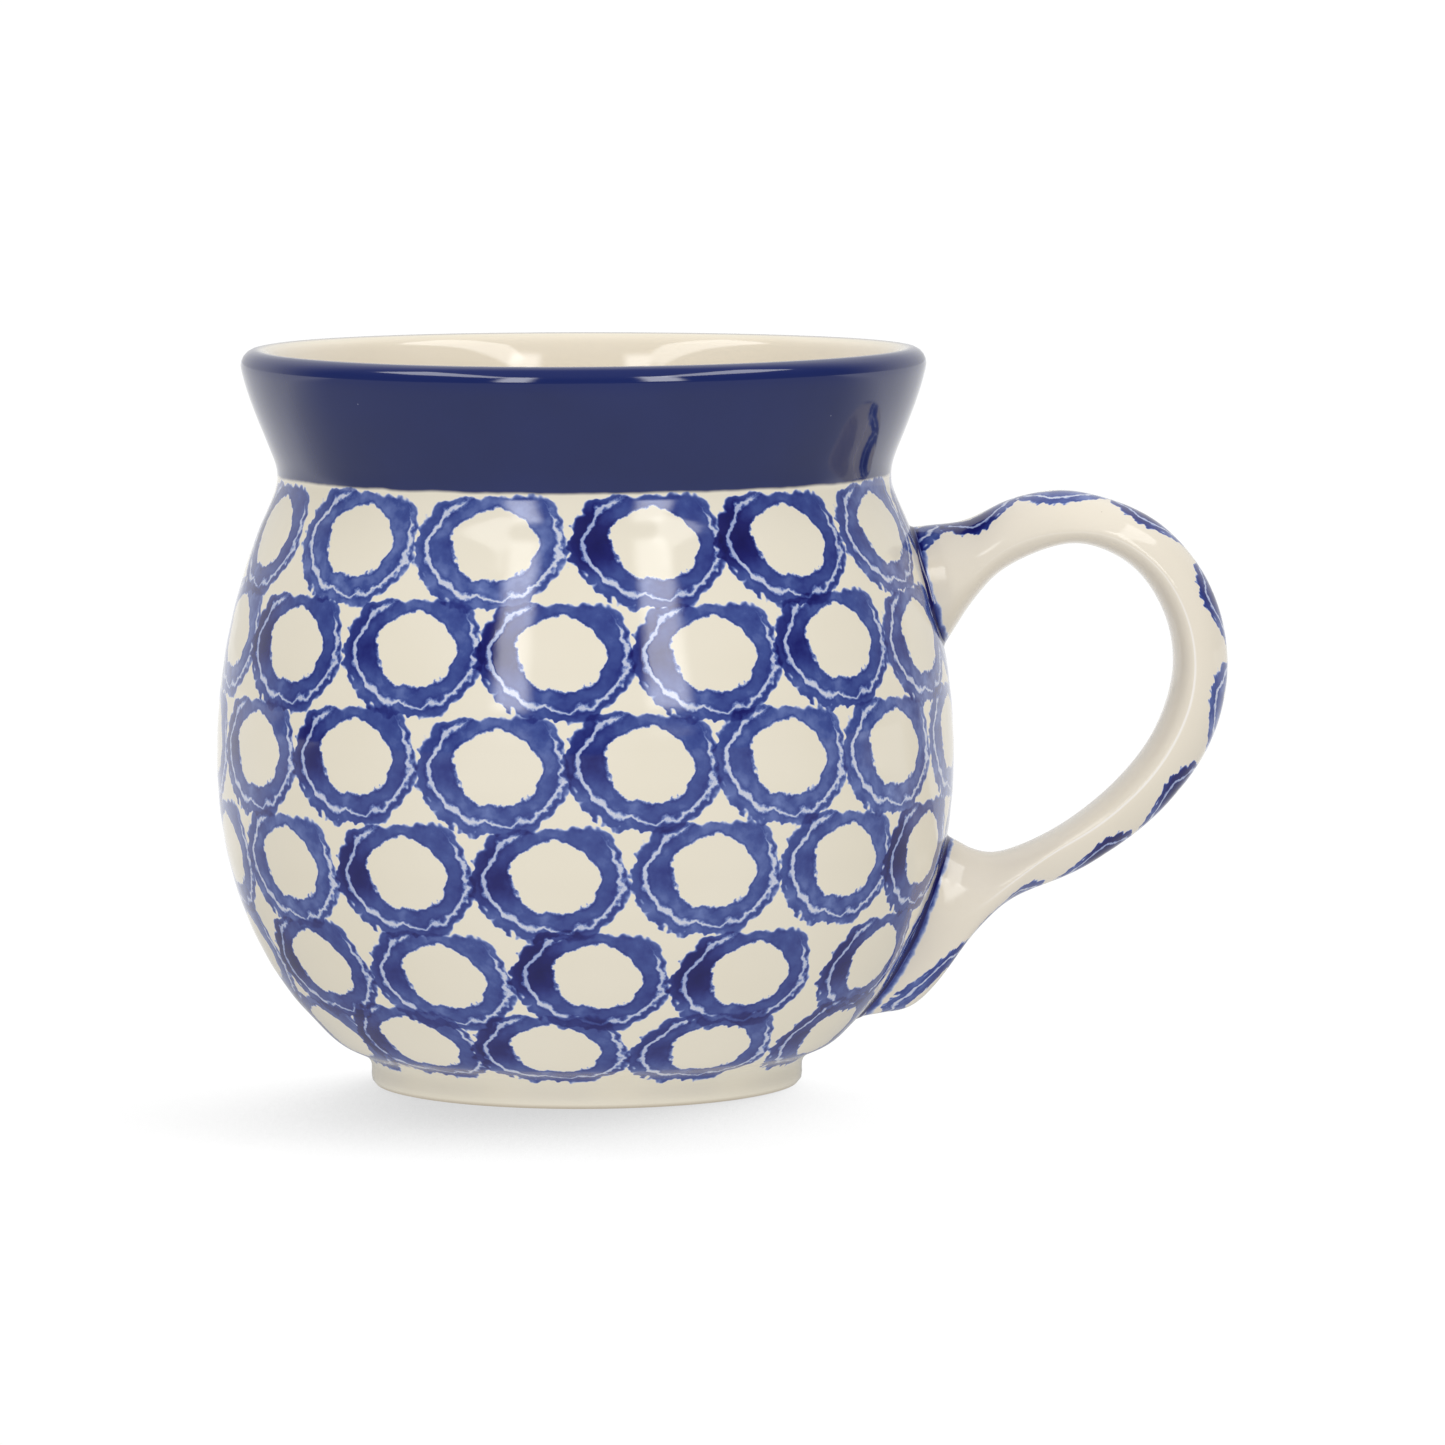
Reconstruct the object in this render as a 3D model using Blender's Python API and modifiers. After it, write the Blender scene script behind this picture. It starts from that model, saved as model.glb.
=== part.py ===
"""Hand-made stoneware mug: a turned barrel-shaped body, a pulled strap handle, and the two beads of
slip that hold the handle on.

Frame: metres, +Z up. The origin is the centre of the plane that the foot stands on, and the handle
points along +X.
"""
import math

import bmesh
import bpy
from mathutils import Vector

# ---- Driving dimensions (metres) ----------------------------------------------------------------
MUG_HEIGHT = 0.0900
WALL = 0.0039
ROUND_STEPS = 48                # facets round every turned piece
POLE_MERGE = 0.00001            # joins the points that meet on the axis

# Belly: a superellipse below its widest level, a circular arc above it
BELLY_RADIUS = 0.0450
BELLY_LEVEL = 0.0403
BELLY_ARC_RADIUS = 0.0748
LOWER_BELLY_REACH = 0.0340      # how far the lower curve runs in towards the axis
LOWER_BELLY_DROP = 0.0415       # how far it would run down if the foot didn't stop it
LOWER_BELLY_POWER = 2.1

# Collar: a flared cone above the neck, rounded into the belly at the neck
NECK_RADIUS = 0.0371
NECK_LEVEL = 0.0748
NECK_BLEND = 0.0020
FLARE = math.radians(19.6)      # the collar's lean away from upright
LIP_START = MUG_HEIGHT - WALL / 2 * (1 + math.sin(FLARE))

# Levels where the outside changes from one curve to the next, and the points along each curve
COLLAR_BOTTOM = NECK_LEVEL + 0.0040
NECK_TOP = NECK_LEVEL + 0.0024
NECK_BOTTOM = NECK_LEVEL - 0.0028
SHOULDER_TOP = NECK_LEVEL - 0.0060
SHOULDER_BOTTOM = BELLY_LEVEL + 0.0050
COLLAR_POINTS = 2
NECK_POINTS = 6
SHOULDER_POINTS = 6
LOWER_BELLY_POINTS = 11
INNER_BELLY_POINTS = 9
LIP_POINTS = 8
FOOT_EDGE_POINTS = 4

# Foot ring and floor
FOOT_HEIGHT = 0.0028
FOOT_SHOULDER = 0.0003          # height of the small step between the belly and the foot's side
FOOT_RADIUS = 0.0264
FOOT_EDGE_RADIUS = 0.0010
FOOT_RING_INNER_RADIUS = 0.0215
FOOT_RING_BEVEL = 0.0008
RECESS_DEPTH = 0.0008
FLOOR_LEVEL = 0.0056
FLOOR_FLAT_RADIUS = 0.0090
INNER_BELLY_POWER = 2.2

# Handle: each station is (outer x, outer z, inner x, inner z, width along Y)
HANDLE_STATIONS = (
    (0.0366, 0.0682, 0.0400, 0.0518, 0.0165),      # inside the upper wall
    (0.0412, 0.0682, 0.0437, 0.0533, 0.0160),      # upper root
    (0.0465, 0.0688, 0.0467, 0.0581, 0.0145),
    (0.0525, 0.0715, 0.0513, 0.0630, 0.0136),
    (0.0600, 0.0723, 0.0594, 0.0660, 0.0134),      # top of the loop
    (0.0696, 0.0688, 0.0664, 0.0635, 0.0132),
    (0.0762, 0.0612, 0.0707, 0.0576, 0.0130),
    (0.0786, 0.0514, 0.0719, 0.0505, 0.0130),      # farthest from the body
    (0.0765, 0.0415, 0.0697, 0.0430, 0.0130),
    (0.0701, 0.0328, 0.0650, 0.0367, 0.0130),
    (0.0610, 0.0262, 0.0583, 0.0313, 0.0130),
    (0.0520, 0.0223, 0.0509, 0.0281, 0.0134),
    (0.0467, 0.0174, 0.0467, 0.0287, 0.0146),
    (0.0428, 0.0119, 0.0448, 0.0304, 0.0158),      # lower root
    (0.0388, 0.0087, 0.0431, 0.0314, 0.0162),
    (0.0320, 0.0085, 0.0404, 0.0322, 0.0165),      # inside the lower wall
)
STEPS_PER_STATION = 3
SECTION_POINTS = 24
SECTION_POWER = 2.3             # above 2, the strap's broad faces are flatter than an ellipse's
SHARP_EDGE = math.radians(40)   # only the cut ends are sharper than this
ROOT_STATIONS = 4               # how many stations from each end belong to a root

# Slip joints: a thin bead between the body and each root, wider than the root all round
FIT_GAP = 0.0003
SLIP_THICKNESS = 0.0008
SLIP_OVERHANG = 0.0011

# ---- Materials: linear colour, roughness, metallic ----------------------------------------------
CREAM_GLAZE = ((0.75, 0.70, 0.59), 0.12, 0.0)
HANDLE_GLAZE = ((0.78, 0.74, 0.64), 0.12, 0.0)
COBALT_SLIP = ((0.030, 0.045, 0.190), 0.15, 0.0)

OBJECT_NAME = "stoneware_mug"


def clear_scene():
    for old in list(bpy.data.objects):
        bpy.data.objects.remove(old, do_unlink=True)


def new_collection(name):
    collection = bpy.data.collections.new(name)
    bpy.context.scene.collection.children.link(collection)
    return collection


def make_material(name, finish):
    color, roughness, metallic = finish
    material = bpy.data.materials.new(name)
    material.use_nodes = True
    shader = material.node_tree.nodes["Principled BSDF"]
    shader.inputs["Base Color"].default_value = (*color, 1.0)
    shader.inputs["Roughness"].default_value = roughness
    shader.inputs["Metallic"].default_value = metallic
    return material


# ---- Turned outlines: lists of (radius, height) -------------------------------------------------
def smooth_max(a, b, blend):
    """The larger of two lengths, with the corner where they cross rounded over."""
    share = min(max(0.5 + 0.5 * (a - b) / blend, 0.0), 1.0)
    return b + (a - b) * share + blend * share * (1.0 - share)


def upper_radius(z):
    """Outside radius at a height between the widest level and the lip."""
    shoulder_drop = BELLY_ARC_RADIUS - math.sqrt(BELLY_ARC_RADIUS**2 - (z - BELLY_LEVEL)**2)
    cone = NECK_RADIUS + math.tan(FLARE) * (z - NECK_LEVEL)
    return smooth_max(BELLY_RADIUS - shoulder_drop, cone, NECK_BLEND)


def spread(start, end, count):
    return [start + (end - start) * i / (count - 1) for i in range(count)]


def arc(center, radius, start_degrees, end_degrees, count):
    angles = [math.radians(a) for a in spread(start_degrees, end_degrees, count)]
    return [(center[0] + radius * math.cos(a), center[1] + radius * math.sin(a)) for a in angles]


def superellipse_quarter(top_radius, reach, drop, power, lowest, count):
    """From the widest level down to the height called lowest, curving in towards the axis."""
    last_angle = math.asin(((BELLY_LEVEL - lowest) / drop) ** (power / 2))
    points = []
    for angle in spread(0.0, last_angle, count):
        z = BELLY_LEVEL - drop * math.sin(angle) ** (2 / power)
        radius = top_radius - reach * (1 - math.cos(angle) ** (2 / power))
        points.append((radius, z))
    return points


def outside_outline():
    """The outer surface from just below the lip down to the top of the foot."""
    collar = spread(LIP_START, COLLAR_BOTTOM, COLLAR_POINTS)
    neck = spread(NECK_TOP, NECK_BOTTOM, NECK_POINTS)
    shoulder = spread(SHOULDER_TOP, SHOULDER_BOTTOM, SHOULDER_POINTS)
    outline = [(upper_radius(z), z) for z in collar + neck + shoulder]
    outline += superellipse_quarter(
        BELLY_RADIUS, LOWER_BELLY_REACH, LOWER_BELLY_DROP, LOWER_BELLY_POWER, FOOT_HEIGHT,
        LOWER_BELLY_POINTS)
    return outline


def offset_outline(outline, distance):
    """Moves an outline that runs downwards outwards along its normals; negative is inwards."""
    moved = []
    for i, (radius, z) in enumerate(outline):
        before = Vector(outline[max(i - 1, 0)])
        after = Vector(outline[min(i + 1, len(outline) - 1)])
        along = (after - before).normalized()
        moved.append((radius - along.y * distance, z + along.x * distance))
    return moved


def body_outline():
    """The whole closed section: inside floor, inside wall, lip, outside wall, foot and base."""
    outside = outside_outline()
    above_belly = [point for point in outside if point[1] > (BELLY_LEVEL + SHOULDER_BOTTOM) / 2]
    inside_upper = offset_outline(above_belly, -WALL)
    inner_top_radius = BELLY_RADIUS - WALL
    inside_lower = superellipse_quarter(
        inner_top_radius, inner_top_radius - FLOOR_FLAT_RADIUS, BELLY_LEVEL - FLOOR_LEVEL,
        INNER_BELLY_POWER, FLOOR_LEVEL, INNER_BELLY_POINTS)
    inside = inside_upper + inside_lower + [(0.0, FLOOR_LEVEL)]

    lip_center = ((outside[0][0] + inside[0][0]) / 2, (outside[0][1] + inside[0][1]) / 2)
    lean = math.degrees(math.atan2(outside[0][1] - inside[0][1], outside[0][0] - inside[0][0]))
    lip = arc(lip_center, WALL / 2, lean + 180, lean, LIP_POINTS)[1:-1]

    foot_edge_center = (FOOT_RADIUS - FOOT_EDGE_RADIUS, FOOT_EDGE_RADIUS)
    foot = [(FOOT_RADIUS, FOOT_HEIGHT - FOOT_SHOULDER)]
    foot += arc(foot_edge_center, FOOT_EDGE_RADIUS, 0, -90, FOOT_EDGE_POINTS)
    foot += [
        (FOOT_RING_INNER_RADIUS, 0.0),
        (FOOT_RING_INNER_RADIUS - FOOT_RING_BEVEL, RECESS_DEPTH),
        (0.0, RECESS_DEPTH),
    ]
    return inside[::-1] + lip + outside + foot


def turned_object(name, outline, collection):
    """A profile at +X, spun round Z. Its outer side runs from top to bottom."""
    mesh = bpy.data.meshes.new(name)
    vertices = [(radius, 0.0, z) for radius, z in outline]
    edges = [(i, i + 1) for i in range(len(outline) - 1)]
    mesh.from_pydata(vertices, edges, [])
    turned = bpy.data.objects.new(name, mesh)
    collection.objects.link(turned)
    screw = turned.modifiers.new("spin", "SCREW")
    screw.axis = "Z"
    screw.steps = ROUND_STEPS
    screw.render_steps = ROUND_STEPS
    screw.use_merge_vertices = True
    screw.merge_threshold = POLE_MERGE
    screw.use_smooth_shade = True
    return turned


def body_cutter(distance, collection):
    """The mug's outside grown by a distance and filled to the axis, for trimming the handle."""
    grown = offset_outline(outside_outline(), distance)
    bottom = FOOT_HEIGHT - distance
    outline = [(0.0, grown[0][1])] + grown + [(grown[-1][0], bottom), (0.0, bottom)]
    cutter = turned_object(f"body_plus_{distance * 1e6:.0f}_um", outline, collection)
    cutter.hide_render = True
    cutter.display_type = "WIRE"
    return cutter


# ---- Handle: a loft of oval sections through the stations ----------------------------------------
def catmull_rom(values, steps):
    """Smooth curve through rows of numbers, with the given number of steps between rows."""
    rows = [Vector(row) for row in values]
    rows = [2 * rows[0] - rows[1]] + rows + [2 * rows[-1] - rows[-2]]
    curve = []
    for a, b, c, d in zip(rows, rows[1:], rows[2:], rows[3:]):
        for step in range(steps):
            t = step / steps
            curve.append(0.5 * (2 * b + (c - a) * t + (2 * a - 5 * b + 4 * c - d) * t**2
                                + (3 * b - a - 3 * c + d) * t**3))
    return curve + [rows[-2]]


def section_ring(outer, inner, width, overhang):
    """An oval between an outer and an inner point, broad along Y."""
    center = (outer + inner) / 2
    half_thickness = (outer - inner).length / 2 + overhang
    across = (outer - inner).normalized()
    half_width = width / 2 + overhang
    ring = []
    for i in range(SECTION_POINTS):
        angle = 2 * math.pi * i / SECTION_POINTS
        cos, sin = math.cos(angle), math.sin(angle)
        along_thickness = half_thickness * math.copysign(abs(cos) ** (2 / SECTION_POWER), cos)
        along_width = half_width * math.copysign(abs(sin) ** (2 / SECTION_POWER), sin)
        ring.append(center + across * along_thickness + Vector((0, along_width, 0)))
    return ring


def strap_object(name, stations, overhang, collection):
    """A closed strap through handle stations, grown by the overhang on every side."""
    shape = bmesh.new()
    rings = []
    outer_curve = catmull_rom([(s[0], 0.0, s[1]) for s in stations], STEPS_PER_STATION)
    inner_curve = catmull_rom([(s[2], 0.0, s[3]) for s in stations], STEPS_PER_STATION)
    width_curve = catmull_rom([(s[4], 0.0) for s in stations], STEPS_PER_STATION)
    for outer, inner, width in zip(outer_curve, inner_curve, width_curve):
        ring = section_ring(outer, inner, width.x, overhang)
        rings.append([shape.verts.new(point) for point in ring])
    for ring, next_ring in zip(rings, rings[1:]):
        for i in range(SECTION_POINTS):
            j = (i + 1) % SECTION_POINTS
            shape.faces.new((ring[i], ring[j], next_ring[j], next_ring[i]))
    shape.faces.new(rings[0])
    shape.faces.new(rings[-1])
    bmesh.ops.recalc_face_normals(shape, faces=shape.faces)
    mesh = bpy.data.meshes.new(name)
    shape.to_mesh(mesh)
    shape.free()
    mesh.shade_smooth()
    mesh.set_sharp_from_angle(angle=SHARP_EDGE)
    strap = bpy.data.objects.new(name, mesh)
    collection.objects.link(strap)
    return strap


def add_boolean(target, cutter, operation):
    modifier = target.modifiers.new(operation.lower(), "BOOLEAN")
    modifier.operation = operation
    modifier.object = cutter
    modifier.solver = "EXACT"


# ---- The pieces ---------------------------------------------------------------------------------
def make_body(parts):
    body = turned_object("mug_body", body_outline(), parts)
    body.data.materials.append(make_material("cream_glaze", CREAM_GLAZE))


def make_handle(parts, cutters):
    handle = strap_object("handle", HANDLE_STATIONS, 0.0, parts)
    add_boolean(handle, body_cutter(SLIP_THICKNESS + 2 * FIT_GAP, cutters), "DIFFERENCE")
    handle.data.materials.append(make_material("handle_glaze", HANDLE_GLAZE))


def make_slip_joint(name, stations, parts, slip_outside, slip_inside):
    """The bead that squeezed out round a root: a skin on the body, a little wider than the root."""
    joint = strap_object(name, stations, SLIP_OVERHANG, parts)
    add_boolean(joint, slip_outside, "INTERSECT")
    add_boolean(joint, slip_inside, "DIFFERENCE")
    joint.data.materials.append(make_material(f"{name}_cobalt", COBALT_SLIP))


def build():
    clear_scene()
    parts = new_collection(OBJECT_NAME)
    cutters = new_collection("cutters")
    slip_outside = body_cutter(FIT_GAP + SLIP_THICKNESS, cutters)
    slip_inside = body_cutter(FIT_GAP, cutters)
    make_body(parts)
    make_handle(parts, cutters)
    upper_root = HANDLE_STATIONS[:ROOT_STATIONS]
    lower_root = HANDLE_STATIONS[-ROOT_STATIONS:]
    make_slip_joint("upper_slip_joint", upper_root, parts, slip_outside, slip_inside)
    make_slip_joint("lower_slip_joint", lower_root, parts, slip_outside, slip_inside)


build()
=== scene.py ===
"""Looks of the hand-stamped stoneware mug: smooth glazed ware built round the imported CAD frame.

The body is turned again, finely, from the CAD body's own section. The handle is lofted again through the
CAD handle's own outline and run into the wall, and a bead of slip rounds each joint. The blue rings are
stamped one by one: Python decides where each stamp landed, and shader nodes draw the ring.
"""
import math
import random

import bmesh
import bpy
import numpy as np
from mathutils import Matrix, Vector


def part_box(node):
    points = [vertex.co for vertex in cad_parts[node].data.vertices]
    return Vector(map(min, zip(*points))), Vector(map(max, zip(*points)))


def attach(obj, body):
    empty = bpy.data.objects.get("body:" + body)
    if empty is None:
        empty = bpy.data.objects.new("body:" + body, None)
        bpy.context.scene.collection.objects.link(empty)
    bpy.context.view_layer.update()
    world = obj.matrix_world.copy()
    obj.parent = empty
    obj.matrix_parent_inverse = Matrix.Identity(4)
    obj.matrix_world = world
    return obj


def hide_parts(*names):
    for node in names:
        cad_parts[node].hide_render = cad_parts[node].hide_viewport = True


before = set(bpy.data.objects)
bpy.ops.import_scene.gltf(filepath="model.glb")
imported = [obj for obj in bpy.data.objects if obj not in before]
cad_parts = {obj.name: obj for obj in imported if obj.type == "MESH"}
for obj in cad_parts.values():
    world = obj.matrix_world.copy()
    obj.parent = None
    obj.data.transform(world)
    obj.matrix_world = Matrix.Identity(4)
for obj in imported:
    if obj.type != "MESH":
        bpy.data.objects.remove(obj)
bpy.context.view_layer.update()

MM = 0.001
WELD = 2e-6                     # vertices closer than this are one

# ---- Body ---------------------------------------------------------------------------------------
ROUND_STEPS = 192
OUTLINE_STEP = 0.62 * MM
FOOT_TOP = 2.8 * MM             # where the belly meets the foot ring
OVALITY = 0.10 * MM             # the wheel-thrown body is never quite round
THROWING_RIDGE = 0.018 * MM
THROWING_TURN = 1.25            # radians of the ridges' wave to each mm of the section
RIM_WAVE = 0.12 * MM
INSIDE_END = -1.2               # mm outside the crest of the lip, where the inner glaze ends
FOOT_INSIDE = 21 * MM           # the clay is bare outside this radius, where the foot stands
BARE_HEIGHT = 0.25 * MM

# ---- Handle -------------------------------------------------------------------------------------
CAD_CUT_REACH = 1.55 * MM       # the outlines are read only further than this from the body
WIDTH_REACH = 2.2 * MM          # the width is read from the CAD vertices this near the middle line
HANDLE_RINGS = 150
HANDLE_SIDES = 64
HANDLE_POWER = 2.25
RIDGE_AT = -0.25                # a ridge runs along each side, nearer the inner face
RIDGE_TILT = 0.13
ROOT_SINK = 3.4 * MM            # how far the handle runs on into the wall
ROOT_RINGS = 7
BEAD_ON_BODY = 0.6 * MM
BEAD_ON_HANDLE = 0.8 * MM
BEAD_SINK = 0.03 * MM           # its edges dip this far into the body and the handle
BEAD_CORE = 0.5 * MM
BEAD_POINTS = 8

# ---- Stamps -------------------------------------------------------------------------------------
# Rows: mm below the neck line, and the angles of the stamps in front, in degrees towards the handle
STAMP_ROWS = (
    (6.0, (-43.0, -15.8, 12.2, 38.3)),
    (19.0, (-53.2, -27.7, -3.8, 20.7, 44.8)),
    (32.3, (-61.3, -37.5, -13.4, 9.7, 32.6, 55.9)),
    (45.4, (-53.6, -28.9, -4.8, 20.1, 44.6)),
    (58.9, (-52.7, -25.2, 1.8, 29.3, 60.2)),
    (70.3, (-64.7, -37.0, -6.5, 26.7, 61.7)),
)
STAMP_CLEARANCE = 22.0          # mm between centres of stamps that share a layer
# Stamps on the handle: mm along it, and mm that they lie off its middle, away from the viewer
HANDLE_STAMPS = ((-1.5, 1.8), (8.5, 3.4), (19.0, 3.9), (30.5, 4.1), (43.8, 3.2), (57.0, 2.5), (70.3, 2.3),
                 (82.3, 2.3), (95.0, 2.4), (101.0, 2.0), (109.5, -0.8))
HANDLE_STAMP_SCALE = 0.85
FACE_SPAN = 8.0                 # mm; no face of the body or the handle is this wide
random.seed(7)


# ---- Curves -------------------------------------------------------------------------------------
def lengths_along(points):
    steps = np.linalg.norm(np.diff(points, axis=0), axis=1)
    return np.concatenate(([0.0], np.cumsum(steps)))


def resample(points, count):
    """The same polyline with equally spaced points."""
    along = lengths_along(points)
    places = np.linspace(0, along[-1], count)
    return np.column_stack([np.interp(places, along, column) for column in points.T])


def spline(points, count):
    """A natural cubic spline through the points, with equally spaced points."""
    points = np.asarray(points, float)
    knots = lengths_along(points)
    gaps = np.diff(knots)[:, None]
    slopes = np.diff(points, axis=0) / gaps
    system = np.eye(len(points))
    bends = np.zeros_like(points)
    for i in range(1, len(points) - 1):
        system[i, i - 1:i + 2] = (gaps[i - 1, 0], 2 * (gaps[i - 1, 0] + gaps[i, 0]), gaps[i, 0])
        bends[i] = 6 * (slopes[i] - slopes[i - 1])
    bend = np.linalg.solve(system, bends)
    fine = np.linspace(0, knots[-1], 12 * count)
    k = np.clip(np.searchsorted(knots, fine) - 1, 0, len(points) - 2)
    after = (fine - knots[k])[:, None]
    before = (knots[k + 1] - fine)[:, None]
    gap = gaps[k]
    curve = (bend[k] * before**3 + bend[k + 1] * after**3) / (6 * gap)
    curve += (points[k] / gap - bend[k] * gap / 6) * before
    curve += (points[k + 1] / gap - bend[k + 1] * gap / 6) * after
    return resample(curve, count)


def soften(values, passes):
    """Averages each value with its neighbours, keeping the ends."""
    values = np.array(values, float)
    for _ in range(passes):
        values[1:-1] = (values[:-2] + 2 * values[1:-1] + values[2:]) / 4
    return values


def plane_chain(node, keep):
    """Vertices of a CAD node on the plane y = 0 that pass keep(), in order along the mesh's edges."""
    shape = bmesh.new()
    shape.from_mesh(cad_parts[node].data)
    bmesh.ops.remove_doubles(shape, verts=shape.verts, dist=WELD)
    chosen = {v for v in shape.verts if abs(v.co.y) < WELD and keep(v.co)}
    links = {v: [] for v in chosen}
    for edge in shape.edges:
        a, b = edge.verts
        if a in chosen and b in chosen:
            links[a].append(b)
            links[b].append(a)
    chains = []
    ends = sorted((v for v in chosen if len(links[v]) == 1), key=lambda v: -v.co.z)
    used = set()
    for end in ends:
        if end in used:
            continue
        chain = [end]
        used.add(end)
        while True:
            onward = [v for v in links[chain[-1]] if v not in used]
            if not onward:
                break
            chain.append(onward[0])
            used.add(onward[0])
        chains.append(np.array([(v.co.x, v.co.z) for v in chain]))
    shape.free()
    return chains


# ---- Mesh building ------------------------------------------------------------------------------
def grid_faces(rows, columns, close_rows=False):
    """Quads of a grid of vertices whose columns wrap round."""
    faces = []
    for i in range(rows if close_rows else rows - 1):
        below = (i + 1) % rows
        for j in range(columns):
            right = (j + 1) % columns
            faces.append((i * columns + j, i * columns + right, below * columns + right,
                          below * columns + j))
    return faces


def make_piece(name, vertices, faces, attributes, materials, face_materials=None):
    mesh = bpy.data.meshes.new(name)
    mesh.from_pydata([tuple(v) for v in vertices], [], faces)
    mesh.validate()
    for label, values in attributes.items():
        kind = "FLOAT_VECTOR" if np.ndim(values) == 2 else "FLOAT"
        field = "vector" if kind == "FLOAT_VECTOR" else "value"
        layer = mesh.attributes.new(label, kind, "POINT")
        layer.data.foreach_set(field, np.asarray(values, np.float32).ravel())
    for material in materials:
        mesh.materials.append(material)
    if face_materials is not None:
        mesh.polygons.foreach_set("material_index", face_materials)
    shape = bmesh.new()
    shape.from_mesh(mesh)
    bmesh.ops.recalc_face_normals(shape, faces=shape.faces)
    shape.to_mesh(mesh)
    shape.free()
    mesh.shade_smooth()
    piece = bpy.data.objects.new(name, mesh)
    bpy.context.scene.collection.objects.link(piece)
    return piece


# ---- Body section -------------------------------------------------------------------------------
def body_section():
    """Fine section from the axis on the inside floor, over the lip, down the outside to the axis."""
    walked = plane_chain("mug_body", lambda co: co.x > 0)[0]
    floor = walked[0]
    base = walked[-1]
    if floor[1] < base[1]:
        walked = walked[::-1]
        floor, base = base, floor
    inside = [(0.0, floor[1]), (floor[0] / 2, floor[1])]
    under = [(base[0] / 2, base[1]), (0.0, base[1])]
    points = np.array(inside + [tuple(p) for p in walked] + under)
    count = int(lengths_along(points)[-1] / OUTLINE_STEP)
    section = spline(points, count)
    section[:, 0] = np.maximum(section[:, 0], 0.0)
    section[:, 1] = np.maximum(section[:, 1], 0.0)
    return section


SECTION = body_section()
CREST = int(np.argmax(SECTION[:, 1]))
ARC = (lengths_along(SECTION) - lengths_along(SECTION)[CREST]) / MM      # mm, positive outside
OUTSIDE = SECTION[CREST:]
NECK = CREST + int(np.argmin(np.where((OUTSIDE[:, 1] > 0.06) & (OUTSIDE[:, 1] < 0.085),
                                      OUTSIDE[:, 0], 1.0)))
NECK_ARC = float(ARC[NECK])


def wall_radius(z):
    """Outside radius of the body at a height."""
    outside = OUTSIDE[(OUTSIDE[:, 1] > FOOT_TOP)]
    return np.interp(z, outside[::-1, 1], outside[::-1, 0])


def wall_slope(z):
    step = 0.2 * MM
    return (wall_radius(z + step) - wall_radius(z - step)) / (2 * step)


def height_over_wall(points):
    """Signed distance outside the body's wall, for points beside the belly."""
    radius = np.hypot(points[..., 0], points[..., 1])
    z = points[..., 2]
    return (radius - wall_radius(z)) / np.sqrt(1 + wall_slope(z) ** 2)


def wall_normal(point):
    slope = float(wall_slope(point[2]))
    around = math.hypot(point[0], point[1])
    normal = np.array([point[0] / around, point[1] / around, -slope])
    return normal / np.linalg.norm(normal)


# ---- Stamp places -------------------------------------------------------------------------------
def body_stamps():
    """Where each stamp landed: angle, distance down the section, turn and ink."""
    stamps = []
    for below_neck, front in STAMP_ROWS:
        pitch = (front[-1] - front[0]) / (len(front) - 1)
        gap = 360 - (front[-1] - front[0])
        steps = round(gap / pitch)
        behind = [front[-1] + gap * i / steps + random.uniform(-1.0, 1.0) for i in range(1, steps)]
        for degrees in (*front, *behind):
            stamps.append({
                "angle": math.radians(degrees - 90),
                "arc": NECK_ARC + below_neck + random.uniform(-0.4, 0.4),
                "turn": math.radians(random.uniform(-5, 5)),
                "ink": random.uniform(0.0, 1.0),
            })
    return stamps


def wrap(angle):
    return (angle + np.pi) % (2 * np.pi) - np.pi


def stamp_distance(a, b):
    radius = float(np.interp((a["arc"] + b["arc"]) / 2, ARC, SECTION[:, 0])) / MM
    return math.hypot(wrap(a["angle"] - b["angle"]) * radius, a["arc"] - b["arc"])


def into_layers(stamps):
    """Shares the stamps out so that neighbours are never in one layer."""
    layers = []
    for stamp in stamps:
        for layer in layers:
            if all(stamp_distance(stamp, other) > STAMP_CLEARANCE for other in layer):
                layer.append(stamp)
                break
        else:
            layers.append([stamp])
    return layers


def places_from(stamp, angle, arc, radius):
    """Points' places on one stamp: right and up in mm, and the stamp's ink."""
    right = wrap(angle - stamp["angle"]) * radius / MM
    up = stamp["arc"] - arc
    cos, sin = math.cos(stamp["turn"]), math.sin(stamp["turn"])
    return np.column_stack([right * cos + up * sin, up * cos - right * sin,
                            np.full(len(angle), stamp["ink"])])


def mark_corners(piece, layers):
    """Gives every face corner its place on the stamp nearest its face, one attribute to a layer.

    A layer is a list of arrays, one to a stamp, with each vertex's place on that stamp. All corners of
    a face take the same stamp, so that no face spans two, and a face at the back of a stamp, where its
    far left meets its far right, takes one side only.
    """
    mesh = piece.data
    vertex = np.empty(len(mesh.loops), np.int32)
    mesh.loops.foreach_get("vertex_index", vertex)
    first_corner = np.empty(len(mesh.polygons), np.int32)
    mesh.polygons.foreach_get("loop_start", first_corner)
    corner_count = np.empty(len(mesh.polygons), np.int32)
    mesh.polygons.foreach_get("loop_total", corner_count)
    lead_vertex = np.repeat(vertex[first_corner], corner_count)
    for i, places in enumerate(layers):
        places = np.array(places)
        distance = np.hypot(places[:, :, 0], places[:, :, 1])
        nearest = distance.argmin(axis=0)
        attribute = mesh.attributes.new(f"stamp_{i}", "FLOAT_VECTOR", "CORNER")
        values = places[nearest[lead_vertex], vertex]
        lead = places[nearest[lead_vertex], lead_vertex]
        values = np.where(np.abs(values - lead) > FACE_SPAN, lead, values)
        attribute.data.foreach_set("vector", values.astype(np.float32).ravel())


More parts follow.
